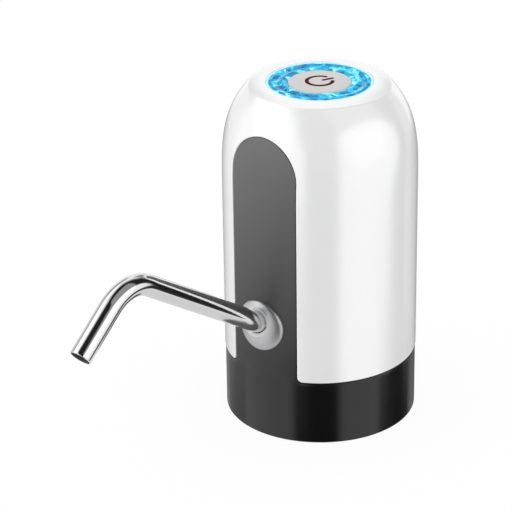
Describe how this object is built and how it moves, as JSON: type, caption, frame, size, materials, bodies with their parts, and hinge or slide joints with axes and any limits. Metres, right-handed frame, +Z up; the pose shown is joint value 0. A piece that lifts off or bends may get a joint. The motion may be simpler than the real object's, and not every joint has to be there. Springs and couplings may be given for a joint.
{
  "type": "bottled water pump",
  "caption": "Domed battery pump for the neck of a large water bottle, with a push button in a faceted light ring, a dark front panel and a bent steel spout that swivels.",
  "frame": {"origin": "on the ground, under the middle of the object's whole outline with the spout; the body's own axis is 50.7 mm behind it", "axes": "+Z up along the body's axis, -Y the way the spout points, +X to the right seen from the front"},
  "size_m": [0.075, 0.1764, 0.135],
  "materials": {
    "white_shell": "glossy white moulding",
    "dark_base": "dark grey moulding with a soft gloss",
    "spout_steel": "polished stainless tube",
    "satin_collar": "satin chrome",
    "blue_crystal": "clear faceted plastic lit blue from inside",
    "pearl_button": "pearly pale green grey",
    "inner_plastic": "plain moulded",
    "pump_plastic": "plain moulded",
    "silicone": "milky silicone",
    "black_rubber": "matt",
    "green_board": "lacquered board",
    "zinc": "zinc plated",
    "rotor_steel": "steel core and copper winding",
    "cell_wrap": "blue shrink wrap",
    "lamp": "milky",
    "ferrite": "dull dark ceramic",
    "red_lead": "soft wire sleeve"
  },
  "bodies": {
    "root": {"outer_shell": "white_shell", "base_body": "dark_base", "neck_ring": "silicone", "inlet_barb": "inner_plastic", "base_screw_1": "zinc", "base_screw_2": "zinc", "base_screw_3": "zinc", "base_screw_4": "zinc", "spout_holder": "inner_plastic", "spout_o_ring_1": "black_rubber", "spout_o_ring_2": "black_rubber", "spout_collar": "satin_collar", "light_ring": "blue_crystal", "tact_switch": "pump_plastic", "top_board": "green_board", "led_1": "lamp", "led_2": "lamp", "led_3": "lamp", "led_4": "lamp", "board_screw_1": "zinc", "board_screw_2": "zinc", "board_screw_3": "zinc", "valve_head": "pump_plastic", "diaphragm": "black_rubber", "wobble_plate": "pump_plastic", "crank_case": "pump_plastic", "motor_can": "zinc", "motor_magnet_1": "ferrite", "motor_magnet_2": "ferrite", "motor_end_cap": "inner_plastic", "pump_cradle": "inner_plastic", "battery": "cell_wrap", "battery_tray": "inner_plastic", "inlet_tube": "silicone", "outlet_tube": "silicone", "charge_board": "green_board", "charge_socket": "zinc", "motor_lead_1": "red_lead", "motor_lead_2": "black_rubber", "battery_lead_1": "red_lead", "battery_lead_2": "black_rubber", "charge_lead_1": "red_lead", "charge_lead_2": "black_rubber"},
    "spout": {"spout_tube": "spout_steel"},
    "button": {"button_cap": "pearl_button", "switch_plunger": "inner_plastic"},
    "rotor": {"motor_rotor": "rotor_steel", "crank": "pump_plastic"}
  },
  "joints": [
    {"name": "button_press", "type": "slide", "parent": "root", "child": "button", "axis": [0, 0, -1], "range_m": [0, 0.0005], "stiffness_N_per_m": 3000},
    {"name": "spout_swivel", "type": "hinge", "parent": "root", "child": "spout", "pos_m": [0, 0.0134, 0.04785], "axis": [0, -0.8415, 0.5402], "continuous": true},
    {"name": "motor_spin", "type": "hinge", "parent": "root", "child": "rotor", "pos_m": [-0.0055, 0.0507, 0.08], "axis": [0, 0, 1], "continuous": true}
  ]
}
